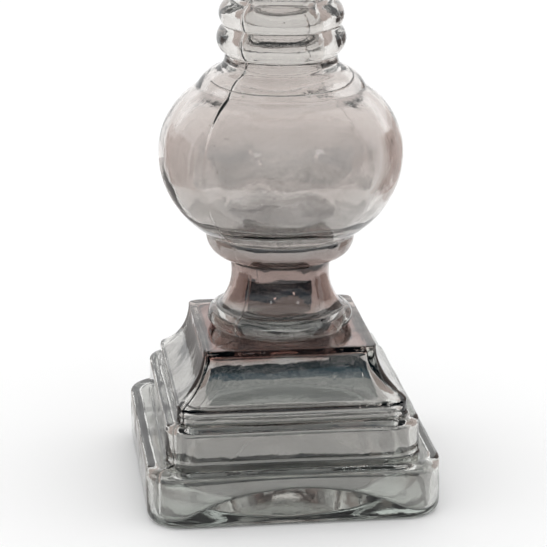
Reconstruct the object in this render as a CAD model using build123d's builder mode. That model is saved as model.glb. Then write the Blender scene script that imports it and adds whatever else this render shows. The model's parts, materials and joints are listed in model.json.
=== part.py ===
from build123d import *
from math import atan2, hypot, sqrt, tan
import os

# Glass candlestick on a square stepped foot.
# Hollow glass sections stand one on another, each meeting the next on a ring face.
# A loose glass nozzle with a drip pan drops into the cup at the top and holds one candle.
# Millimetres. +Z is up, the origin is the centre of the foot's underside, the front faces -Y.

# ---- square foot: three steps, the upper one with a hollow-curved top ----
foot_width = 134.5
foot_step_height = 27.0
middle_width = 116.2
middle_step_height = 18.0
lip_width = 105.5
lip_height = 7.5
plate_width = 79.5
cavetto_height = 22.3
cavetto_spread = 12.0  # how far the curve runs out on each side before the lip's edge
foot_corner = 16.5  # vertical corners, in plan
middle_corner = 11.5
lip_corner = 8.0
plate_corner = 4.0
arris_radius = 3.0  # top edges of the two lower steps
lip_arris_radius = 0.9
underside_radius = 4.0
foot_wall = 4.0
floor_height_at_side = 16.5  # the cavity's floor is a dome, lowest in the corners
floor_height_at_corner = 3.4
punt_radius = 50.0  # the hollow pushed up in the underside
punt_rise = 19.0
cavetto_sections = 5

# ---- turned sections, from the foot upwards ----
base_ring_radius = 34.0
base_ring_height = 9.5
base_ring_wall = 4.5
waist_radius = 22.9
waist_height = 24.1
waist_rise = 16.2  # from the bottom of the waist up to its narrowest place
waist_foot_radius = 29.3
waist_top_radius = 24.2
waist_wall = 4.0
collar_radius = 34.6
collar_height = 12.0
collar_edge = 1.7  # straight band above the collar's quarter round
cavity_fullness = 0.93  # how nearly level the cavity's round starts, 1 being level
bulb_radius = 56.2
bulb_height = 67.9
bulb_equator = 36.9  # above the bulb's foot
bulb_wall = 3.8
bulb_foot_land = 4.0  # width of the ring face under the bulb
bulb_floor_radius = 42.0  # the cavity's flat floor, with the throat's opening in its middle
bulb_floor_height = 10.0
throat_radius = 27.0  # the cavity draws in here, between the collar and the bulb
throat_fold = 5.5  # rise over which it draws in
crease_radius = 38.5
crease_bore = 30.0
dome_edge_radius = 35.0  # where the bulb's ceiling turns up towards the neck
dome_edge_drop = 4.5
shoulder_height = 14.0
shoulder_round_height = 8.2  # the convex part, below the hollow that meets the neck
shoulder_round_radius = 29.8  # how far out the convex part ends
shoulder_flare = 7.5  # rise over which the bore widens towards the bulb
neck_radius = 25.7
neck_bore = 19.0
neck_ring_radius = 29.5
neck_ring_height = 14.0
neck_band = 1.0  # plain band under the neck ring
groove_radius = 26.8
upper_ring_radius = 28.5
upper_ring_height = 11.5
upper_ring_top_radius = 24.5
cup_neck_radius = 17.0
cup_neck_height = 24.0
cup_neck_waist = 16.0  # from the bottom of the neck up to its narrowest place
cup_neck_bore = 13.0
cup_neck_taper = 10.0  # rise over which the bore narrows from the upper ring's to its own
cup_foot_radius = 20.5
cup_belly_radius = 32.0
cup_belly_height = 20.0
cup_height = 38.0
cup_throat_radius = 31.0
cup_throat_height = 28.0
cup_rim_radius = 37.0
cup_rim_thickness = 3.0
cup_wall = 3.5

# ---- loose nozzle ----
candle_diameter = 22.0
candle_clearance = 0.25  # all round
nozzle_wall = 3.5
nozzle_depth = 28.0
nozzle_floor = 3.0
pan_overhang = 1.5  # the pan reaches this far past the cup's rim
pan_thickness = 3.0
pan_lip_height = 3.0
pan_lip_width = 3.5
seat_gap = 0.1  # the pan rests this far above the rim, so the loose piece lifts freely
register_depth = 2.0  # collar under the pan that centres it in the cup's mouth
register_clearance = 0.5
socket_rise = 4.0  # the socket's mouth stands this far above the pan

# ---- levels, and the bore that the foot shares with the stem ----
plate_bore = waist_foot_radius - waist_wall
step_level = foot_step_height
lip_level = step_level + middle_step_height
cavetto_level = lip_level + lip_height
plate_level = cavetto_level + cavetto_height
waist_level = plate_level + base_ring_height
collar_level = waist_level + waist_height
bulb_level = collar_level + collar_height
equator_level = bulb_level + bulb_equator
crease_level = bulb_level + bulb_height
neck_level = crease_level + shoulder_height
groove_level = neck_level + neck_ring_height
upper_level = groove_level + upper_ring_height
cup_level = upper_level + cup_neck_height
rim_level = cup_level + cup_height

os.makedirs("parts", exist_ok=True)


def arc_radius(reach, rise):
    """Radius of the arc that starts square to its reach and gets there over the rise."""
    return (reach**2 + rise**2) / (2 * reach)


def arc_reach(radius, rise):
    """How far such an arc has reached after a rise."""
    return radius - sqrt(radius**2 - rise**2)


def half_way_radius(vertex, end, rise):
    """Radius half way up an arc that stands upright at its vertex radius and ends at another."""
    spread = abs(end - vertex)
    reach = arc_reach(arc_radius(spread, rise), rise / 2)
    return vertex + reach * (end - vertex) / spread


def swelling_middle(low, high, fullness):
    """Middle of an arc from low out to high; full, it starts level or ends upright, and no fuller."""
    width, rise = high[0] - low[0], high[1] - low[1]
    chord = hypot(width, rise)
    lean = atan2(min(width, rise), max(width, rise)) * fullness
    sag = chord / 2 * tan(lean / 2)
    return (low[0] + width / 2 + sag * rise / chord, low[1] + rise / 2 - sag * width / chord)


def cavetto_half_width(drop, narrowing=0.0):
    """Half the width of the hollow curve at a drop below the plate."""
    radius = arc_radius(cavetto_spread, cavetto_height)
    return plate_width / 2 - narrowing + arc_reach(radius, drop)


def save(builder, name):
    builder.part.label = name
    export_step(builder.part, f"parts/{name}.step")


# ---- square foot ----
with BuildPart() as foot_cavity:
    for width, corner, bottom, top in (
        (foot_width, foot_corner, 0.0, step_level),
        (middle_width, middle_corner, step_level - foot_wall, lip_level),
        (lip_width, lip_corner, lip_level - foot_wall, cavetto_level),
    ):
        inner_width = width - 2 * foot_wall
        with BuildSketch(Plane.XY.offset(bottom)):
            RectangleRounded(inner_width, inner_width, corner - foot_wall / 2)
        extrude(amount=top - foot_wall - bottom)
    for i in range(cavetto_sections):
        drop = cavetto_height * i / (cavetto_sections - 1)
        inner_width = 2 * cavetto_half_width(drop, foot_wall)
        with BuildSketch(Plane.XY.offset(plate_level - foot_wall - drop)):
            RectangleRounded(inner_width, inner_width, plate_corner)
    loft()
    side_reach = foot_width / 2 - foot_wall
    bend = foot_corner - foot_wall / 2
    corner_reach = (side_reach - bend) * sqrt(2) + bend
    fall = floor_height_at_side - floor_height_at_corner
    depth = (corner_reach**2 - side_reach**2 - fall**2) / (2 * fall)  # sphere centre below the side height
    with Locations((0, 0, floor_height_at_side - depth)):
        Sphere(sqrt(side_reach**2 + depth**2), mode=Mode.SUBTRACT)

with BuildPart() as square_foot:
    with BuildSketch():
        RectangleRounded(foot_width, foot_width, foot_corner)
    extrude(amount=step_level)
    fillet(square_foot.faces().sort_by(Axis.Z)[-1].edges(), arris_radius)
    fillet(square_foot.faces().sort_by(Axis.Z)[0].edges(), underside_radius)
    with BuildSketch(Plane.XY.offset(step_level)):
        RectangleRounded(middle_width, middle_width, middle_corner)
    extrude(amount=middle_step_height)
    fillet(square_foot.faces().sort_by(Axis.Z)[-1].edges(), arris_radius)
    with BuildSketch(Plane.XY.offset(lip_level)):
        RectangleRounded(lip_width, lip_width, lip_corner)
    extrude(amount=lip_height)
    fillet(square_foot.faces().sort_by(Axis.Z)[-1].edges(), lip_arris_radius)
    for i in range(cavetto_sections):
        drop = cavetto_height * (1 - i / (cavetto_sections - 1))
        outer_width = 2 * cavetto_half_width(drop)
        outer_corner = plate_corner + (lip_corner - plate_corner) * drop / cavetto_height
        with BuildSketch(Plane.XY.offset(plate_level - drop)):
            RectangleRounded(outer_width, outer_width, outer_corner)
    loft()
    add(foot_cavity.part, mode=Mode.SUBTRACT)
    with Locations((0, 0, plate_level - foot_wall / 2)):
        Cylinder(plate_bore, 2 * foot_wall, mode=Mode.SUBTRACT)
    punt_sphere = arc_radius(punt_rise, punt_radius)
    with Locations((0, 0, punt_rise - punt_sphere)):
        Sphere(punt_sphere, mode=Mode.SUBTRACT)
save(square_foot, "square_foot")

# ---- ring under the waist ----
with BuildPart() as base_ring:
    with BuildSketch(Plane.XZ):
        with BuildLine():
            middle_level = (plate_level + waist_level) / 2
            round_start = base_ring_radius - base_ring_height / 2
            ThreePointArc((round_start, plate_level), (base_ring_radius, middle_level),
                          (round_start, waist_level))
            Line((round_start, waist_level), (plate_bore, waist_level))
            ThreePointArc((plate_bore, waist_level),
                          (base_ring_radius - base_ring_wall, middle_level),
                          (plate_bore, plate_level))
            Line((plate_bore, plate_level), (round_start, plate_level))
        make_face()
    revolve(axis=Axis.Z)
save(base_ring, "base_ring")

# ---- waisted stem ----
with BuildPart() as waist_stem:
    with BuildSketch(Plane.XZ):
        with BuildLine():
            narrow_level = waist_level + waist_rise
            for inset in (0.0, waist_wall):
                narrow = waist_radius - inset
                foot = waist_foot_radius - inset
                top = waist_top_radius - inset
                lower_r = half_way_radius(narrow, foot, waist_rise)
                upper_r = half_way_radius(narrow, top, waist_height - waist_rise)
                ThreePointArc((foot, waist_level), (lower_r, (waist_level + narrow_level) / 2),
                              (narrow, narrow_level))
                ThreePointArc((narrow, narrow_level), (upper_r, (narrow_level + collar_level) / 2),
                              (top, collar_level))
            Line((waist_foot_radius - waist_wall, waist_level), (waist_foot_radius, waist_level))
            Line((waist_top_radius - waist_wall, collar_level), (waist_top_radius, collar_level))
        make_face()
    revolve(axis=Axis.Z)
save(waist_stem, "waist_stem")

# ---- collar under the bulb ----
with BuildPart() as collar:
    with BuildSketch(Plane.XZ):
        with BuildLine():
            edge_level = bulb_level - collar_edge
            inner_foot = waist_top_radius - waist_wall
            inner_edge = collar_radius - bulb_foot_land
            for foot, edge, fullness in ((waist_top_radius, collar_radius, 1.0),
                                         (inner_foot, inner_edge, cavity_fullness)):
                ThreePointArc((foot, collar_level),
                              swelling_middle((foot, collar_level), (edge, edge_level), fullness),
                              (edge, edge_level))
            Polyline((collar_radius, edge_level), (collar_radius, bulb_level),
                     (inner_edge, bulb_level), (inner_edge, edge_level))
            Line((inner_foot, collar_level), (waist_top_radius, collar_level))
        make_face()
    revolve(axis=Axis.Z)
save(collar, "collar")

# ---- bulb ----
with BuildPart() as bulb:
    with BuildSketch(Plane.XZ):
        with BuildLine():
            floor_level = bulb_level + bulb_floor_height
            dome_level = crease_level - dome_edge_drop
            for widest, low, low_level, high, high_level in (
                (bulb_radius, collar_radius, bulb_level, crease_radius, crease_level),
                (bulb_radius - bulb_wall, bulb_floor_radius, floor_level, dome_edge_radius, dome_level),
            ):
                low_r = half_way_radius(widest, low, equator_level - low_level)
                high_r = half_way_radius(widest, high, high_level - equator_level)
                ThreePointArc((low, low_level), (low_r, (low_level + equator_level) / 2),
                              (widest, equator_level))
                ThreePointArc((widest, equator_level), (high_r, (equator_level + high_level) / 2),
                              (high, high_level))
            Polyline((bulb_floor_radius, floor_level), (throat_radius, floor_level),
                     (throat_radius, bulb_level + throat_fold),
                     (collar_radius - bulb_foot_land, bulb_level), (collar_radius, bulb_level))
            Polyline((dome_edge_radius, dome_level), (crease_bore, crease_level),
                     (crease_radius, crease_level))
        make_face()
    revolve(axis=Axis.Z)
save(bulb, "bulb")

# ---- shoulder between the bulb and the neck ----
with BuildPart() as shoulder:
    with BuildSketch(Plane.XZ):
        with BuildLine():
            round_level = crease_level + shoulder_round_height
            cap_width = crease_radius - shoulder_round_radius
            hollow_width = shoulder_round_radius - neck_radius
            ThreePointArc((crease_radius, crease_level),
                          (crease_radius - cap_width / 3,
                           crease_level + shoulder_round_height * 0.56),
                          (shoulder_round_radius, round_level))
            ThreePointArc((shoulder_round_radius, round_level),
                          (shoulder_round_radius - hollow_width * 0.75,
                           round_level + (neck_level - round_level) * 0.38),
                          (neck_radius, neck_level))
            Polyline((neck_radius, neck_level), (neck_bore, neck_level),
                     (neck_bore, crease_level + shoulder_flare),
                     (crease_bore, crease_level), (crease_radius, crease_level))
        make_face()
    revolve(axis=Axis.Z)
save(shoulder, "shoulder")

# ---- neck ring ----
with BuildPart() as neck_ring:
    with BuildSketch(Plane.XZ):
        with BuildLine():
            Line((neck_radius, neck_level), (neck_radius, neck_level + neck_band))
            ThreePointArc((neck_radius, neck_level + neck_band),
                          (neck_ring_radius, (neck_level + neck_band + groove_level) / 2),
                          (groove_radius, groove_level))
            Polyline((groove_radius, groove_level), (neck_bore, groove_level),
                     (neck_bore, neck_level), (neck_radius, neck_level))
        make_face()
    revolve(axis=Axis.Z)
save(neck_ring, "neck_ring")

# ---- upper ring ----
with BuildPart() as upper_ring:
    with BuildSketch(Plane.XZ):
        with BuildLine():
            ThreePointArc((groove_radius, groove_level),
                          (upper_ring_radius, (groove_level + upper_level) / 2),
                          (upper_ring_top_radius, upper_level))
            Polyline((upper_ring_top_radius, upper_level), (neck_bore, upper_level),
                     (neck_bore, groove_level), (groove_radius, groove_level))
        make_face()
    revolve(axis=Axis.Z)
save(upper_ring, "upper_ring")

# ---- neck under the cup ----
with BuildPart() as cup_neck:
    with BuildSketch(Plane.XZ):
        with BuildLine():
            narrow_level = upper_level + cup_neck_waist
            lower_r = half_way_radius(cup_neck_radius, upper_ring_top_radius, cup_neck_waist)
            upper_r = half_way_radius(cup_neck_radius, cup_foot_radius,
                                      cup_neck_height - cup_neck_waist)
            ThreePointArc((upper_ring_top_radius, upper_level),
                          (lower_r, (upper_level + narrow_level) / 2),
                          (cup_neck_radius, narrow_level))
            ThreePointArc((cup_neck_radius, narrow_level),
                          (upper_r, (narrow_level + cup_level) / 2),
                          (cup_foot_radius, cup_level))
            Polyline((cup_foot_radius, cup_level), (cup_neck_bore, cup_level),
                     (cup_neck_bore, upper_level + cup_neck_taper),
                     (neck_bore, upper_level), (upper_ring_top_radius, upper_level))
        make_face()
    revolve(axis=Axis.Z)
save(cup_neck, "cup_neck")

# ---- candle cup ----
mouth_radius = cup_rim_radius - cup_rim_thickness
with BuildPart() as candle_cup:
    with BuildSketch(Plane.XZ):
        with BuildLine():
            belly_level = cup_level + cup_belly_height
            throat_level = cup_level + cup_throat_height
            inner_belly = cup_belly_radius - cup_wall
            bowl_r = half_way_radius(cup_belly_radius, cup_foot_radius, cup_belly_height)
            inner_r = half_way_radius(inner_belly, cup_neck_bore, cup_belly_height)
            half_level = (cup_level + belly_level) / 2
            ThreePointArc((cup_foot_radius, cup_level), (bowl_r, half_level),
                          (cup_belly_radius, belly_level))
            Spline((cup_belly_radius, belly_level), (cup_throat_radius, throat_level),
                   (cup_rim_radius, rim_level), tangents=((0, 1), (1, 1)))
            Line((cup_rim_radius, rim_level), (mouth_radius, rim_level))
            Spline((mouth_radius, rim_level), (cup_throat_radius - cup_wall, throat_level),
                   (inner_belly, belly_level), tangents=((-1, -1), (0, -1)))
            ThreePointArc((inner_belly, belly_level), (inner_r, half_level),
                          (cup_neck_bore, cup_level))
            Line((cup_neck_bore, cup_level), (cup_foot_radius, cup_level))
        make_face()
    revolve(axis=Axis.Z)
save(candle_cup, "candle_cup")

# ---- loose nozzle with its drip pan ----
with BuildPart() as candle_nozzle:
    socket_bore = candle_diameter / 2 + candle_clearance
    socket_radius = socket_bore + nozzle_wall
    pan_level = rim_level + seat_gap
    pan_top = pan_level + pan_thickness
    pan_radius = cup_rim_radius + pan_overhang
    socket_mouth = pan_top + socket_rise
    register_radius = mouth_radius - register_clearance - register_depth
    with BuildSketch(Plane.XZ):
        with BuildLine():
            Polyline(
                (0, socket_mouth - nozzle_depth - nozzle_floor),
                (socket_radius, socket_mouth - nozzle_depth - nozzle_floor),
                (socket_radius, pan_level - register_depth),
                (register_radius, pan_level - register_depth),
                (register_radius, pan_level),
                (pan_radius, pan_level),
                (pan_radius, pan_top + pan_lip_height),
                (pan_radius - pan_lip_width, pan_top + pan_lip_height),
                (pan_radius - pan_lip_width, pan_top),
                (socket_radius, pan_top),
                (socket_radius, socket_mouth),
                (socket_bore, socket_mouth),
                (socket_bore, socket_mouth - nozzle_depth),
                (0, socket_mouth - nozzle_depth),
                close=True,
            )
        make_face()
    revolve(axis=Axis.Z)
save(candle_nozzle, "candle_nozzle")
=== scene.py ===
import bmesh
import bpy
import json
import math
import numpy as np
from mathutils import Matrix, Vector

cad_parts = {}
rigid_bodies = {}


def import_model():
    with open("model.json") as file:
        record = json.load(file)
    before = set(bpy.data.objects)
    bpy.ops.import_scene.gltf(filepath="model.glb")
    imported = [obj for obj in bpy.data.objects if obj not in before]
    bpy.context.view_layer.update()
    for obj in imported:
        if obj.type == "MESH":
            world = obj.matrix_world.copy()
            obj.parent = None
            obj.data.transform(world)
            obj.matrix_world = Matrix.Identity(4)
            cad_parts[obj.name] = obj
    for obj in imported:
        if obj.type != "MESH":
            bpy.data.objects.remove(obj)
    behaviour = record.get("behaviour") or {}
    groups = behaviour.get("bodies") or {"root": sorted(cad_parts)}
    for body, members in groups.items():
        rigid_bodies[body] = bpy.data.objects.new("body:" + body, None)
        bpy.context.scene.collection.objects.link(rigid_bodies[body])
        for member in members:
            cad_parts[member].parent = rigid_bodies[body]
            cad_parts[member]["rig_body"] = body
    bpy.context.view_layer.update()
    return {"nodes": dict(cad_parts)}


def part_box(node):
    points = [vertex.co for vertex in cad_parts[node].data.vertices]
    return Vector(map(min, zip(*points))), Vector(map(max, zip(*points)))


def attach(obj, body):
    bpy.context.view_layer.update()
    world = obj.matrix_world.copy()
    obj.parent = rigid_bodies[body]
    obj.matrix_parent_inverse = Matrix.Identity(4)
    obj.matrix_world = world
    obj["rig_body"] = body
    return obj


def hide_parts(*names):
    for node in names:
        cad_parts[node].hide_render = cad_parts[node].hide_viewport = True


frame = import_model()
mm = 0.001
print("frame loaded")


def linear(hexColour):  # sRGB hex to the linear numbers Blender's sockets take
    parts = [int(hexColour[i:i + 2], 16) / 255 for i in (1, 3, 5)]
    return tuple(c / 12.92 if c <= 0.04045 else ((c + 0.055) / 1.055) ** 2.4 for c in parts)


def addNode(nodes, kind, settings=None, inputs=None):  # inputs are values or sockets
    node = nodes.new(kind)
    for name, value in (settings or {}).items():
        setattr(node, name, value)
    for name, value in (inputs or {}).items():
        if isinstance(value, bpy.types.NodeSocket):
            node.id_data.links.new(value, node.inputs[name])
        else:
            node.inputs[name].default_value = value
    return node


def blownGlass(name, look):  # the mesh says where its inside is silvered and where it runs on
    material = bpy.data.materials.new(name)
    material.use_nodes = True
    nodes = material.node_tree.nodes
    nodes.clear()
    place = addNode(nodes, "ShaderNodeTexCoord").outputs["Object"]
    silvered = addNode(nodes, "ShaderNodeAttribute", {"attribute_name": "lustre"}).outputs["Fac"]
    inside = addNode(nodes, "ShaderNodeAttribute", {"attribute_name": "inside"}).outputs["Fac"]
    amber = addNode(nodes, "ShaderNodeAttribute", {"attribute_name": "amber"}).outputs["Fac"]
    joined = addNode(nodes, "ShaderNodeAttribute", {"attribute_name": "joined"}).outputs["Fac"]
    times = {"operation": "MULTIPLY"}
    clouds = addNode(nodes, "ShaderNodeTexNoise", inputs={  # the coat is uneven, in broad clouds
        "Vector": place, "Scale": 1 / (look["cloudSize"] * mm), "Detail": 4.0, "Roughness": 0.65,
        "Distortion": 0.6}).outputs["Fac"]
    uneven = addNode(nodes, "ShaderNodeMapRange", inputs={
        "Value": clouds, "From Min": 0.3, "From Max": 0.7, "To Min": 1 - look["uneven"],
        "To Max": 1.0}).outputs["Result"]
    specks = addNode(nodes, "ShaderNodeTexNoise", inputs={  # and finely mottled where it beaded
        "Vector": place, "Scale": 1 / (look["speckleSize"] * mm), "Detail": 1.0}).outputs["Fac"]
    mottled = addNode(nodes, "ShaderNodeMapRange", inputs={
        "Value": specks, "From Min": 0.35, "From Max": 0.6, "To Min": 1 - look["speckle"],
        "To Max": 1.0}).outputs["Result"]
    even = addNode(nodes, "ShaderNodeMath", times, {0: uneven, 1: mottled}).outputs["Value"]
    metal = addNode(nodes, "ShaderNodeMath", times, {0: silvered, 1: even}).outputs["Value"]
    ripple = addNode(nodes, "ShaderNodeTexNoise", inputs={  # soft ripple left by the mould
        "Vector": place, "Scale": 1 / (look["rippleSize"] * mm), "Detail": 3.0,
        "Roughness": 0.45}).outputs["Fac"]
    grain = addNode(nodes, "ShaderNodeTexNoise", inputs={  # fine orange-peel of cheap glass
        "Vector": place, "Scale": 1 / (look["grainSize"] * mm), "Detail": 2.0}).outputs["Fac"]
    soft = addNode(nodes, "ShaderNodeBump", inputs={
        "Height": ripple, "Strength": 1.0, "Distance": look["ripple"] * mm}).outputs["Normal"]
    fine = addNode(nodes, "ShaderNodeBump", inputs={
        "Height": grain, "Strength": 1.0, "Distance": look["grain"] * mm,
        "Normal": soft}).outputs["Normal"]

    def mixed(factor, first, second):  # two colours, each a hex string or a socket
        node = addNode(nodes, "ShaderNodeMix", {"data_type": "RGBA"}, {"Factor": factor})
        for at, colour in ((6, first), (7, second)):
            if isinstance(colour, str):
                node.inputs[at].default_value = (*linear(colour), 1)
            else:
                material.node_tree.links.new(colour, node.inputs[at])
        return node.outputs[2]

    coat = mixed(metal, look["thinCoat"], look["fullCoat"])  # paler where the coat is thin
    coat = mixed(amber, coat, look["copper"])  # and copper-brown in the narrow middle
    colour = mixed(inside, mixed(amber, look["outside"], look["rosy"]), coat)
    colour = mixed(joined, colour, "#ffffff")
    bend = addNode(nodes, "ShaderNodeMapRange", inputs={  # glass, but no bending where it only runs on
        "Value": joined, "To Min": look["ior"], "To Max": 1.0}).outputs["Result"]
    shader = addNode(nodes, "ShaderNodeBsdfPrincipled", inputs={
        "Base Color": colour, "Metallic": metal, "Roughness": look["roughness"], "IOR": bend,
        "Transmission Weight": 1.0, "Normal": fine})
    depth = addNode(nodes, "ShaderNodeVolumeAbsorption", inputs={  # green where the glass is thick
        "Color": (*linear(look["deep"]), 1), "Density": look["density"]})
    addNode(nodes, "ShaderNodeOutputMaterial", inputs={
        "Surface": shader.outputs["BSDF"], "Volume": depth.outputs["Volume"]})
    return material


def arc(start, end, middle):  # points on the arc from start to end through middle
    (ax, ay), (bx, by), (cx, cy) = start, middle, end
    d = 2 * (ax * (by - cy) + bx * (cy - ay) + cx * (ay - by))
    ux = ((ax**2 + ay**2) * (by - cy) + (bx**2 + by**2) * (cy - ay) + (cx**2 + cy**2) * (ay - by)) / d
    uy = ((ax**2 + ay**2) * (cx - bx) + (bx**2 + by**2) * (ax - cx) + (cx**2 + cy**2) * (bx - ax)) / d
    radius = math.hypot(ax - ux, ay - uy)
    a0, a1, a2 = (math.atan2(y - uy, x - ux) for x, y in (start, middle, end))
    turn = (a2 - a0) % (2 * math.pi)
    if (a1 - a0) % (2 * math.pi) > turn:
        turn -= 2 * math.pi
    steps = max(8, int(abs(turn) * radius / 0.4))  # a point every 0.4 mm
    angles = [a0 + turn * i / steps for i in range(steps + 1)]
    return [(ux + radius * math.cos(a), uy + radius * math.sin(a)) for a in angles]


def halfWay(vertex, end):  # the middle of an arc that stands upright at its vertex
    spread, rise = end[0] - vertex[0], end[1] - vertex[1]
    radius = (spread**2 + rise**2) / (2 * abs(spread))
    reach = radius - math.sqrt(radius**2 - (rise / 2) ** 2)
    return vertex[0] + math.copysign(reach, spread), vertex[1] + rise / 2


def bellied(low, vertex, high):  # two such arcs, from the low point through the vertex to the high one
    return arc(low, vertex, halfWay(vertex, low)) + arc(vertex, high, halfWay(vertex, high))[1:]


def evenly(points, step, closed=False):  # the outline again, with points one step apart
    p = np.array(points, float)
    if closed:
        p = np.concatenate([p, p[:1]])
    lengths = np.concatenate([[0], np.cumsum(np.linalg.norm(np.diff(p[:, :2], axis=0), axis=1))])
    at = np.linspace(0, lengths[-1], max(4, int(lengths[-1] / step)) + 1)
    if closed:
        at = at[:-1]
    return np.stack([np.interp(at, lengths, p[:, k]) for k in range(p.shape[1])], axis=1)


def softened(p, sigma, step, closed=False):  # corners of an outline rounded as fire-polished glass is
    reach = int(3 * sigma / step)
    if reach < 1 or len(p) <= reach:
        return p
    weights = np.exp(-0.5 * (np.arange(-reach, reach + 1) * step / sigma) ** 2)
    weights /= weights.sum()
    if closed:
        padded = np.concatenate([p[-reach:], p, p[:reach]])
    else:
        padded = np.concatenate([2 * p[0] - p[reach:0:-1], p, 2 * p[-1] - p[-2:-reach - 2:-1]])
    return np.stack([np.convolve(column, weights, mode="valid") for column in padded.T], axis=1)


def wave(points, size, seed):  # smooth unevenness between -1 and 1, its swells about size mm across
    chance = np.random.default_rng(seed)
    total = np.zeros(points.shape[:-1])
    for _ in range(10):
        direction = chance.normal(size=3)
        direction *= 2 * math.pi / (size * chance.uniform(0.8, 1.7)) / np.linalg.norm(direction)
        total += np.sin(points @ direction + chance.uniform(0, 2 * math.pi))
    return np.clip(total / 4.5, -1, 1)


def normals(grid):  # which way the skin faces at each point of its rings
    along, across = np.gradient(grid, axis=0), np.roll(grid, -1, axis=1) - np.roll(grid, 1, axis=1)
    normal = np.cross(across, along)
    return normal / np.maximum(np.linalg.norm(normal, axis=2, keepdims=True), 1e-9)


def waved(grid, inside, blow):  # rings of points in mm, pushed in and out as blown glass is never true
    depth = blow["innerWave"] if inside else blow["outerWave"]
    push = depth * (wave(grid, blow["waveSize"], blow["seed"] + inside) - 1)
    if not inside:
        off = (grid[:, :, 0] - grid[:, :, 1]) / math.sqrt(2)
        ridge = np.interp(grid[:, :, 2], *zip(*blow["seamHeights"]))
        push = push + np.exp(-((off / blow["seamWidth"]) ** 2)) * ridge
    return grid + normals(grid) * push[:, :, None]


border = {"swell": 2.5, "swellSize": 30, "fray": 1.2, "fraySize": 9, "seed": 77}  # how the coats end


def alongHeight(points, keys):  # a value that changes with height, its borders wavy
    swell = border["swell"] * wave(points, border["swellSize"], border["seed"])
    fray = border["fray"] * wave(points, border["fraySize"], border["seed"] + 1)
    return np.interp(points[..., 2] + swell + fray, *zip(*keys))


# bubbles in the wall, in mm; clear is how many rings stay free of them at each joint
seedShape = {"spacing": 19, "depth": (1.1, 1.7), "radius": (0.12, 0.34), "clear": 8}
ball = bmesh.new()
bmesh.ops.create_icosphere(ball, subdivisions=2, radius=1.0)
ballPoints = np.array([v.co[:] for v in ball.verts])
ballFaces = np.array([[v.index for v in f.verts][::-1] for f in ball.faces])
ball.free()


def seeds(rings, outerRows, seed):  # the bubbles' centres, a little under the skin, and their radii
    chance = np.random.default_rng(seed)
    free = outerRows[seedShape["clear"]:-seedShape["clear"]]
    area = len(free) * step * 2 * math.pi * np.hypot(rings[free, 0, 0], rings[free, 0, 1]).mean()
    amount = int(area / seedShape["spacing"] ** 2)
    i, j = chance.choice(free, amount), chance.integers(rings.shape[1], size=amount)
    centres = rings[i, j] - normals(rings)[i, j] * chance.uniform(*seedShape["depth"], (amount, 1))
    return centres, chance.uniform(*seedShape["radius"], amount)


def blownMesh(name, rings, coated, coat, joins, material, poles=False, seeded=True):
    # a closed skin over rings of points in mm; joins numbers the strips that meet a neighbour's glass
    count, around = rings.shape[:2]
    rows = np.arange(count - 1 if poles else count)
    i, j = np.meshgrid(rows, np.arange(around), indexing="ij")
    a, b, k = i * around, ((i + 1) % count) * around, (j + 1) % around
    faces = np.stack([a + j, a + k, b + k, b + j], axis=2).reshape(-1, 4).tolist()
    joined = np.repeat(np.isin(rows, [q % count for q in joins]), around)
    points, ringCoat, coated = rings.reshape(-1, 3), coated, np.repeat(coated, around)
    if poles:
        points = np.concatenate([points, [points[:around].mean(0), points[-around:].mean(0)]])
        coated = np.append(coated, coated[[0, -1]])
        last = (count - 1) * around
        faces += [(len(points) - 2, (q + 1) % around, q) for q in range(around)]
        faces += [(len(points) - 1, last + q, last + (q + 1) % around) for q in range(around)]
        joined = np.concatenate([joined, np.zeros(2 * around, bool)])
    if seeded:
        centres, radii = seeds(rings, np.flatnonzero(ringCoat == 0), coat["seed"] + len(rings))
        for centre, radius in zip(centres, radii):  # a bubble's skin faces inwards, away from the glass
            faces += (ballFaces + len(points)).tolist()
            points = np.concatenate([points, centre + ballPoints * radius])
        coated = np.append(coated, np.zeros(len(points) - len(coated)))
        joined = np.append(joined, np.zeros(len(faces) - len(joined), bool))
    mesh = bpy.data.meshes.new(name)
    mesh.from_pydata((points * mm).tolist(), [], faces)
    for title, domain, values in (("lustre", "POINT", alongHeight(points, coat["lustre"]) * coated),
                                  ("amber", "POINT", alongHeight(points, coat["amber"])),
                                  ("inside", "POINT", coated), ("joined", "FACE", joined)):
        attribute = mesh.attributes.new(title, "FLOAT", domain)
        attribute.data.foreach_set("value", np.asarray(values, np.float32))
    mesh.polygons.foreach_set("use_smooth", [True] * len(mesh.polygons))
    borders = {q % count for q in joins} | {(q + 1) % count for q in joins}
    ends = np.zeros(len(mesh.edges) * 2, np.int32)
    mesh.edges.foreach_get("vertices", ends)
    ring = ends.reshape(-1, 2) // around
    sharp = (ring[:, 0] == ring[:, 1]) & np.isin(ring[:, 0], list(borders))
    mesh.attributes.new("sharp_edge", "BOOLEAN", "EDGE").data.foreach_set("value", sharp)
    mesh.materials.append(material)
    obj = bpy.data.objects.new(name, mesh)
    bpy.context.scene.collection.objects.link(obj)
    return obj


def standsFor(piece, node):  # the piece rides where its CAD node does and takes its place
    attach(piece, frame["nodes"][node]["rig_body"])
    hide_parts(node)


facets = 220
besideSeam = np.linspace(-0.05, 0.05, 17)  # closer together at the mould ridge, on both sides
turnedAngles = np.unique(np.concatenate([
    np.arange(facets) * 2 * math.pi / facets, math.pi / 4 + besideSeam, 5 * math.pi / 4 + besideSeam]))


def spun(outline):  # rings of points from an outline of radii and heights
    outline = np.asarray(outline)
    radius, level = outline[:, 0, None], np.repeat(outline[:, 1, None], len(turnedAngles), axis=1)
    return np.stack([radius * np.cos(turnedAngles), radius * np.sin(turnedAngles), level], axis=2)


def spanOf(node):  # a node's half width or radius, its bottom and its top, in mm
    low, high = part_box(node)
    return high.x / mm, low.z / mm, high.z / mm


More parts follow.
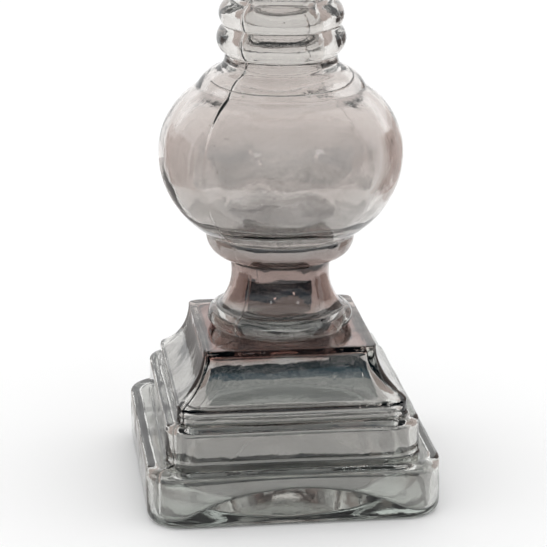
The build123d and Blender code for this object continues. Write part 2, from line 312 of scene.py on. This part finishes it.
clearLook = {  # sizes in mm
    "outside": "#ebe7e4", "rosy": "#cfb3ab", "thinCoat": "#e9e7e5", "fullCoat": "#b6b8b8",
    "copper": "#a58c86", "deep": "#7f9a8c", "density": 5.0, "ior": 1.5, "roughness": 0.0,
    "cloudSize": 20, "uneven": 0.45, "speckle": 0.3, "speckleSize": 1.4,
    "rippleSize": 9, "ripple": 0.16, "grainSize": 1.5, "grain": 0.03}
lustreLook = {**clearLook, "outside": "#e3e4e1", "uneven": 0.22, "speckle": 0.18, "rippleSize": 8,
              "grain": 0.02}
# soda-lime glass blown into a mould: a pale grey-pink body that the room shows through
clearGlass = blownGlass("smoky seeded blown glass", clearLook)
# the same glass silvered on its cavity side: mirrors what is in front, coppery in the narrow middle
lustreGlass = blownGlass("smoky glass with a silvered inside", lustreLook)
print("materials made")

footHalf, _, plateTop = spanOf("square_foot")
ringRadius, _, ringTop = spanOf("base_ring")
waistFoot, _, waistTop = spanOf("waist_stem")
collarRadius, _, collarTop = spanOf("collar")
bulbRadius, _, bulbTop = spanOf("bulb")
_, _, shoulderTop = spanOf("shoulder")
neckRingRadius, _, neckTop = spanOf("neck_ring")
upperRingRadius, _, upperTop = spanOf("upper_ring")
upperFoot, _, neckEnd = spanOf("cup_neck")
rimRadius, _, rimTop = spanOf("candle_cup")
panRadius, nozzleBottom, nozzleTop = spanOf("candle_nozzle")
plateBore = waistFoot - 4.0

# the blown wall from the plate up to the rim, one outline outside and one inside
blow = {"outerWave": 0.12, "innerWave": 0.3, "waveSize": 17, "seed": 3, "seamWidth": 0.55,
        "seamHeights": [(70, 0.3), (120, 0.15), (150, 0.1), (163, 0.45), (185, 0.8), (215, 0.5),
                        (300, 0.4)],
        "lustre": [(76, 0.5), (83, 0.55), (88, 0.88), (92, 0.95), (106, 0.96), (118, 0.95), (122, 0.8),
                   (131, 0.6), (134, 0.46), (144, 0.4), (151, 0.27), (161, 0.13), (168, 0.06),
                   (190, 0.05), (300, 0.03)],
        "amber": [(76, 0.05), (84, 0.1), (90, 0.6), (108, 0.6), (114, 0.35), (122, 0.1), (135, 0.0),
                  (160, 0.2), (195, 0.15), (205, 0.0), (300, 0.0)]}

ringShape = {"wall": 4.5}
tube = (ringTop - plateTop) / 2
ringFoot, ringMiddle = ringRadius - tube, (ringTop + plateTop) / 2
outside = arc((ringFoot, plateTop), (ringFoot, ringTop), (ringRadius, ringMiddle))
inside = arc((plateBore, plateTop), (plateBore, ringTop), (ringRadius - ringShape["wall"], ringMiddle))

waistShape = {"wall": 4.0, "narrow": 22.9, "rise": 16.2, "head": 24.2}
for chain, inset in ((outside, 0), (inside, waistShape["wall"])):
    chain += bellied((waistFoot - inset, ringTop),
                     (waistShape["narrow"] - inset, ringTop + waistShape["rise"]),
                     (waistShape["head"] - inset, waistTop))[1:]

collarShape = {"edge": 1.7, "land": 4.0}
edgeLevel = collarTop - collarShape["edge"]
reach, rise = collarRadius - waistShape["head"], edgeLevel - waistTop
outside += arc((waistShape["head"], waistTop), (collarRadius, edgeLevel),
               (waistShape["head"] + reach * math.sqrt(0.5), edgeLevel - rise * math.sqrt(0.5)))[1:]
outside += [(collarRadius, collarTop)]
innerFoot, innerEdge = waistShape["head"] - waistShape["wall"], collarRadius - collarShape["land"]
inside += arc((innerFoot, waistTop), (innerEdge, edgeLevel),
              (innerFoot + (innerEdge - innerFoot) * math.sqrt(0.5), edgeLevel - rise * math.sqrt(0.5)))[1:]
inside += [(innerEdge, collarTop)]

bulbShape = {"wall": 3.8, "equator": 36.9, "floorRadius": 42.0, "floorRise": 10.0, "throatRadius": 27.0,
             "fold": 5.5, "ceilingRadius": 35.0, "ceilingDrop": 4.5, "bore": 30.0, "crease": 38.5}
equator = collarTop + bulbShape["equator"]
outside += bellied((collarRadius, collarTop), (bulbRadius, equator), (bulbShape["crease"], bulbTop))[1:]
inside += [(bulbShape["throatRadius"], collarTop + bulbShape["fold"]),
           (bulbShape["throatRadius"], collarTop + bulbShape["floorRise"] - 0.2)]
inside += bellied((bulbShape["floorRadius"], collarTop + bulbShape["floorRise"]),
                  (bulbRadius - bulbShape["wall"], equator),
                  (bulbShape["ceilingRadius"], bulbTop - bulbShape["ceilingDrop"]))
inside += [(bulbShape["bore"], bulbTop)]

shoulderShape = {"cap": 8.2, "capRadius": 29.8, "neck": 25.7, "bore": 19.0, "flare": 7.5}
capLevel = bulbTop + shoulderShape["cap"]
capWidth = bulbShape["crease"] - shoulderShape["capRadius"]
hollow = shoulderShape["capRadius"] - shoulderShape["neck"]
outside += arc((bulbShape["crease"], bulbTop), (shoulderShape["capRadius"], capLevel),
               (bulbShape["crease"] - capWidth / 3, bulbTop + shoulderShape["cap"] * 0.56))[1:]
outside += arc((shoulderShape["capRadius"], capLevel), (shoulderShape["neck"], shoulderTop),
               (shoulderShape["capRadius"] - hollow * 0.75, capLevel + (shoulderTop - capLevel) * 0.38))[1:]
inside += [(shoulderShape["bore"], bulbTop + shoulderShape["flare"]), (shoulderShape["bore"], neckTop)]

neckShape = {"band": 1.0, "groove": 26.8, "upperBore": 13.0, "taper": 10.0}
bandLevel = shoulderTop + neckShape["band"]
outside += arc((shoulderShape["neck"], bandLevel), (neckShape["groove"], neckTop),
               (neckRingRadius, (bandLevel + neckTop) / 2))
outside += arc((neckShape["groove"], neckTop), (upperFoot, upperTop),
               (upperRingRadius, (neckTop + upperTop) / 2))[1:]
inside += [(shoulderShape["bore"], upperTop), (neckShape["upperBore"], upperTop + neckShape["taper"]),
           (neckShape["upperBore"], neckEnd)]

cupNeckShape = {"narrow": 17.0, "rise": 16.0, "head": 20.5}
outside += bellied((upperFoot, upperTop), (cupNeckShape["narrow"], upperTop + cupNeckShape["rise"]),
                   (cupNeckShape["head"], neckEnd))[1:]

cupShape = {"belly": 32.0, "bellyRise": 20.0, "throat": 31.0, "throatRise": 28.0, "wall": 3.5, "rim": 3.0}
bellyLevel, throatLevel = neckEnd + cupShape["bellyRise"], neckEnd + cupShape["throatRise"]
for chain, inset, start in ((outside, 0, cupNeckShape["head"]),
                            (inside, cupShape["wall"], neckShape["upperBore"])):
    belly = (cupShape["belly"] - inset, bellyLevel)
    chain += arc((start, neckEnd), belly, halfWay(belly, (start, neckEnd)))[1:]
    chain += [(cupShape["throat"] - inset, throatLevel), (rimRadius - (inset and cupShape["rim"]), rimTop)]

step, nearJoint = 0.5, 0.05
levels = [plateTop, ringTop, waistTop, collarTop, bulbTop, shoulderTop, neckTop, upperTop, neckEnd,
          rimTop]
sections = ["base_ring", "waist_stem", "collar", "bulb", "shoulder", "neck_ring", "upper_ring",
            "cup_neck", "candle_cup"]


def wallRings(chain, sigma, inside):  # softened, with extra rings beside each joint, spun and waved
    p = softened(evenly(chain, step), sigma, step)
    p[0, 1], p[-1, 1] = plateTop, rimTop
    heights = np.sort(np.concatenate([p[:, 1], levels[1:-1], np.add(levels[1:-1], nearJoint),
                                      np.subtract(levels[1:-1], nearJoint)]))
    heights = heights[np.concatenate([[True], np.diff(heights) > 0.01])]
    rings = waved(spun(np.stack([np.interp(heights, p[:, 1], p[:, 0]), heights], axis=1)), inside, blow)
    return heights, rings


outerHeights, outerRings = wallRings(outside, 0.7, 0)
innerHeights, innerRings = wallRings(inside, 1.4, 1)
air = 0.01  # mm between neighbours' ends
for name, low, high in zip(sections, levels[:-1], levels[1:]):
    outer = outerRings[(outerHeights > low - 0.005) & (outerHeights < high + 0.005)].copy()
    inner = innerRings[(innerHeights > low - 0.005) & (innerHeights < high + 0.005)][::-1].copy()
    for rings, first, last in ((outer, low + air, high - air), (inner, high - air, low + air)):
        rings[0, :, 2], rings[-1, :, 2] = first, last
    joins = [len(outer) + len(inner) - 1]
    rings = [outer, inner]
    flags = [np.zeros(len(outer)), np.ones(len(inner))]
    if name == "candle_cup":  # fire-polished rim instead of a joint
        middle, half = (outer[-1] + inner[0]) / 2, (outer[-1] - inner[0]) / 2
        turn = np.linspace(0, math.pi, 9)[1:-1, None, None]
        rings = [outer[:-4], outer[-4:-3] * 0 + middle + half * np.cos(turn)
                 + np.array([0, 0, 1.0]) * (np.sin(turn) * 1.5 - 1.6), inner[4:]]
        flags = [np.zeros(len(outer) - 4), np.linspace(0, 1, 7), np.ones(len(inner) - 4)]
        joins = [sum(len(r) for r in rings) - 1]
    else:
        joins.append(len(outer) - 1)
    rings = np.concatenate(rings)
    upper = low > collarTop - 1
    piece = blownMesh(name + "_glass", rings, np.concatenate(flags), blow, joins,
                      clearGlass if upper else lustreGlass)
    standsFor(piece, name)
print("blown wall made and cut into its sections")

# candle nozzle, closed at its foot
nozzleShape = {"bore": 11.25, "wall": 3.5, "depth": 28.0, "pan": 3.0, "lip": 3.0, "lipWidth": 3.5,
               "rise": 4.0, "register": 31.5, "registerDepth": 2.0}
panTop = nozzleTop - nozzleShape["rise"]
panLevel, lipTop = panTop - nozzleShape["pan"], panTop + nozzleShape["lip"]
tubeRadius, lipInside = nozzleShape["bore"] + nozzleShape["wall"], panRadius - nozzleShape["lipWidth"]
registerLevel = panLevel - nozzleShape["registerDepth"]
nozzleChain = [
    (0.3, nozzleBottom), (tubeRadius, nozzleBottom), (tubeRadius, registerLevel),
    (nozzleShape["register"], registerLevel), (nozzleShape["register"], panLevel),
    (panRadius, panLevel), (panRadius, lipTop), (lipInside, lipTop), (lipInside, panTop),
    (tubeRadius, panTop), (tubeRadius, nozzleTop), (nozzleShape["bore"], nozzleTop),
    (nozzleShape["bore"], nozzleTop - nozzleShape["depth"]), (0.3, nozzleTop - nozzleShape["depth"])]
rings = spun(softened(evenly(nozzleChain, 0.4), 0.55, 0.4))
nozzle = blownMesh("candle_nozzle_glass", rings, np.zeros(len(rings)), blow, [], clearGlass, True, False)
standsFor(nozzle, "candle_nozzle")

# square foot
foot = {"stepHeights": (27.0, 45.0, 52.5), "halfWidths": (footHalf, 58.1, 52.75),
        "corners": (16.5, 11.5, 8.0), "arrises": (3.0, 3.0, 1.6), "plateHalf": 39.75, "plateCorner": 4.0,
        "spread": 12.0, "bottomRound": 4.0,
        "wall": 4.0, "floorAtSide": 16.5, "floorAtCorner": 3.4, "punt": 50.0, "puntRise": 19.0,
        "floorCoat": 0.2, "ledgeCoat": 0.12}
footBlow = {"outerWave": 0.12, "innerWave": 0.22, "waveSize": 22, "seed": 5, "seamWidth": 0.5,
            "seamHeights": [(0, 0), (5, 0), (9, 0.3), (70, 0.35), (74, 0.1)],
            "lustre": [(0, 0.38), (20, 0.5), (45, 0.58), (52, 0.6), (57, 0.9), (80, 0.93)],
            "amber": [(0, 0.0), (45, 0.1), (55, 0.1), (68, 0.15), (71, 1.0), (80, 1.0)]}


def quarter(width, level, corner, radius, down=False):  # rounded edge of a step, above or below its side
    points = []
    for i in range(9):
        a = i / 8 * math.pi / 2
        cut = radius * (1 - math.sin(a)) if down else radius * (1 - math.cos(a))
        rise = radius * (1 - math.cos(a)) if down else radius * math.sin(a) - radius
        points.append((width - cut, level + rise, max(corner - cut, 1), 1.0))
    return points


def cavetto(half, low, high, spread, corners, flag):  # hollow curve, spread at its foot
    drop = high - low
    radius = (spread**2 + drop**2) / (2 * spread)
    points = []
    for i in range(31):
        down = drop * (1 - i / 30)
        out = radius - math.sqrt(radius**2 - down**2)
        corner = corners[1] + (corners[0] - corners[1]) * down / drop
        points.append((half + out, high - down, corner, flag))
    return points


outerChain = []
sphere = (foot["puntRise"] ** 2 + foot["punt"] ** 2) / (2 * foot["puntRise"])
for i in range(1, 60):
    r = foot["punt"] * i / 60
    outerChain.append((r, foot["puntRise"] - sphere + math.sqrt(sphere**2 - r**2), r, 1.0))
outerChain.append((foot["punt"], 0, foot["punt"], 1.0))
outerChain += quarter(footHalf, 0, foot["corners"][0], foot["bottomRound"], down=True)
for half, level, corner, arris in zip(foot["halfWidths"], foot["stepHeights"], foot["corners"],
                                      foot["arrises"]):
    if level > foot["stepHeights"][0]:
        outerChain.append((half, lastLevel, corner, 1.0))
    outerChain += quarter(half, level, corner, arris)
    lastLevel = level
outerChain += cavetto(foot["plateHalf"], lastLevel, plateTop, foot["spread"],
                      (foot["corners"][2], foot["plateCorner"]), 1.0)
outerChain += [(ringFoot, plateTop, ringFoot, 0.0)]
wall = foot["wall"]
innerChain = [(plateBore, plateTop, plateBore, 1.0), (plateBore, plateTop - wall, plateBore, 1.0)]
innerChain += cavetto(foot["plateHalf"] - wall, lastLevel - wall, plateTop - wall, foot["spread"],
                      (foot["corners"][2], foot["plateCorner"]), 1.0)[::-1]
for k in (2, 1, 0):
    half, corner = foot["halfWidths"][k] - wall, foot["corners"][k] - wall / 2
    bottom = foot["stepHeights"][k - 1] - wall if k else foot["floorAtSide"]
    top, thin = foot["stepHeights"][k] - wall, foot["ledgeCoat"]  # the coat is thin on the flat ledges
    innerChain += [(half, top, corner, thin), (half, top - 2, corner, 1.0)]
    innerChain += [(half, bottom + 2, corner, 1.0), (half, bottom, corner, thin)]
sideReach, _, bend, _ = innerChain[-1]
for i in range(1, 61):
    share = 1 - i / 61
    innerChain.append((sideReach * share, foot["floorAtSide"], max(bend * share, 0.1), foot["floorCoat"]))
cornerReach = (sideReach - bend) * math.sqrt(2) + bend
fall = foot["floorAtSide"] - foot["floorAtCorner"]
below = (cornerReach**2 - sideReach**2 - fall**2) / (2 * fall)  # how far down the dome's centre is
dome = math.sqrt(sideReach**2 + below**2)

octant = math.pi / 4 * (1 - (1 - np.linspace(0, 1, 37)[:-1]) ** 1.9)
quadrant = np.concatenate([octant, [math.pi / 4], math.pi / 2 - octant[:0:-1]])
angles = np.concatenate([quadrant + k * math.pi / 2 for k in range(4)])
fold = np.abs((angles + math.pi / 4) % (math.pi / 2) - math.pi / 4)


def squareRings(p):  # rings of rounded squares from half widths, heights and corner radii
    half, corner = p[:, 0, None], np.clip(p[:, 2, None], 0.05, p[:, 0, None])
    flat = half - corner
    straight = half / np.cos(fold)
    slant = flat * (np.cos(fold) + np.sin(fold))
    rounded = slant + np.sqrt(np.maximum(slant**2 - 2 * flat**2 + corner**2, 0))
    radius = np.where(straight * np.sin(fold) > flat, rounded, straight)
    level = np.repeat(p[:, 1, None], len(angles), axis=1)
    return np.stack([radius * np.cos(angles), radius * np.sin(angles), level], axis=2)


outer = squareRings(softened(evenly(outerChain, step), 0.5, step))
inner = softened(evenly(innerChain, step), 0.9, step)
coated = inner[:, 3]
inner = squareRings(inner)
radius = np.hypot(inner[:, :, 0], inner[:, :, 1])
onDome = foot["floorAtSide"] - below + np.sqrt(dome**2 - radius**2)
topInside = foot["stepHeights"][0] - wall
share = np.clip((topInside - inner[:, :, 2]) / (topInside - foot["floorAtSide"]), 0, 1)
inner[:, :, 2] += share * (onDome - foot["floorAtSide"])  # the lowest walls and the floor follow the dome
outer, inner = waved(outer, 0, footBlow), waved(inner, 1, footBlow)
for rings, at, reach in ((outer, -1, ringFoot), (inner, 0, plateBore)):  # true circles under the ring
    level = np.full(len(angles), plateTop - air)
    rings[at] = np.stack([reach * np.cos(angles), reach * np.sin(angles), level], axis=1)
rings = np.concatenate([outer, inner])
flags = np.concatenate([np.zeros(len(outer)), coated])
footGlass = blownMesh("square_foot_glass", rings, flags, footBlow, [len(outer) - 1],
                      lustreGlass, True)
standsFor(footGlass, "square_foot")
print("square foot made")

# room: pale floor, white all round, dark cards in front with a grey one above them
room = {"floorHalf": 3.0, "floorColour": "#fafafa", "world": 1.12, "middle": 0.1}  # metres
floorMesh = bpy.data.meshes.new("floor")
q = room["floorHalf"]
floorMesh.from_pydata([(-q, -q, 0), (q, -q, 0), (q, q, 0), (-q, q, 0)], [], [(0, 1, 2, 3)])
floorPaper = bpy.data.materials.new("white studio paper")  # matt, gives the glass a bright ground
floorPaper.use_nodes = True
paper = floorPaper.node_tree.nodes["Principled BSDF"]
paper.inputs["Base Color"].default_value = (*linear(room["floorColour"]), 1)
paper.inputs["Roughness"].default_value = 0.9
floorMesh.materials.append(floorPaper)
floor = bpy.data.objects.new("floor", floorMesh)
bpy.context.scene.collection.objects.link(floor)


def card(name, points, columns, colour, brightness, mirrored=False):  # glowing, seen only in the glass
    material = bpy.data.materials.new(name)
    material.use_nodes = True
    nodes = material.node_tree.nodes
    nodes.clear()
    light = addNode(nodes, "ShaderNodeEmission", inputs={
        "Color": (*linear(colour), 1), "Strength": brightness})
    addNode(nodes, "ShaderNodeOutputMaterial", inputs={"Surface": light.outputs["Emission"]})
    faces = [(r * columns + c, r * columns + c + 1, (r + 1) * columns + c + 1, (r + 1) * columns + c)
             for r in range(len(points) // columns - 1) for c in range(columns - 1)]
    mesh = bpy.data.meshes.new(name)
    mesh.from_pydata(points, [], faces)
    mesh.materials.append(material)
    obj = bpy.data.objects.new(name, mesh)
    bpy.context.scene.collection.objects.link(obj)
    obj.visible_camera = obj.visible_diffuse = obj.visible_shadow = False
    obj.visible_transmission = not mirrored


def curved(turns, heights, radius=1.6):  # part of a big ball; degrees from the front and up
    return [(math.sin(t) * math.cos(h) * radius, -math.cos(t) * math.cos(h) * radius,
             math.sin(h) * radius + room["middle"])
            for h in np.radians(np.linspace(*heights, 13)) for t in np.radians(np.linspace(*turns, 25))]


card("black front flag", curved((-98, 86), (-4, 9)), 25, "#1f2c35", 1.0)
card("blue front flag", curved((-98, 86), (9, 28)), 25, "#46606e", 1.0)
card("grey reflector above", curved((-98, 86), (28, 76)), 25, "#aeb4b4", 1.0)
card("left lamp", curved((-32, -26), (21, 26), 1.5), 25, "#ffffff", 2.5)
card("right lamp", curved((29, 35), (21, 26), 1.5), 25, "#ffffff", 2.5)
card("black cloth on the floor", [(math.sin(t) * r, -math.cos(t) * r, 0.001) for r in (0.34, 1.6)
                                  for t in np.radians(np.linspace(-98, 86, 25))], 25, "#222e36", 1.0)
for turn, name in ((-1, "left board"), (1, "right board")):
    card(name, [(turn * 0.26, y, z) for z in (0.0, 0.22) for y in (0.02, 0.35)], 2, "#bfb2ad", 1.0)
card("grey strip on the floor", [(x, y, 0.001) for y in (-0.05, 0.6) for x in (-0.6, -0.07)], 2,
     "#b8b4b2", 1.0, mirrored=True)

world = bpy.data.worlds.new("white room")
bpy.context.scene.world = world
world.use_nodes = True
world.node_tree.nodes["Background"].inputs["Color"].default_value = (1, 1, 1, 1)
world.node_tree.nodes["Background"].inputs["Strength"].default_value = room["world"]
bpy.context.scene.view_settings.view_transform = "Standard"

# camera: a long lens, a little to the left and above
view = {"lens": 149.1, "turn": -7.58, "aside": 0.174, "down": 16.995, "roll": 0.25,  # mm and degrees
        "distance": 1.0096, "height": 0.4070}  # metres
camera = bpy.data.cameras.new("camera")
camera.lens, camera.sensor_width, camera.clip_end = view["lens"], 36, 50
cameraObject = bpy.data.objects.new("camera", camera)
bpy.context.scene.collection.objects.link(cameraObject)
turn, look, down, roll = (math.radians(a) for a in (
    view["turn"], view["turn"] + view["aside"], view["down"], view["roll"]))
ahead = Vector((-math.sin(look) * math.cos(down), math.cos(look) * math.cos(down), -math.sin(down)))
side = ahead.cross(Vector((0, 0, 1))).normalized()
up = side.cross(ahead)
side, up = side * math.cos(roll) + up * math.sin(roll), up * math.cos(roll) - side * math.sin(roll)
cameraObject.matrix_world = Matrix.Translation((
    math.sin(turn) * view["distance"], -math.cos(turn) * view["distance"], view["height"])) @ Matrix(
    (side, up, -ahead)).transposed().to_4x4()
bpy.context.scene.camera = cameraObject

print("room and camera set")
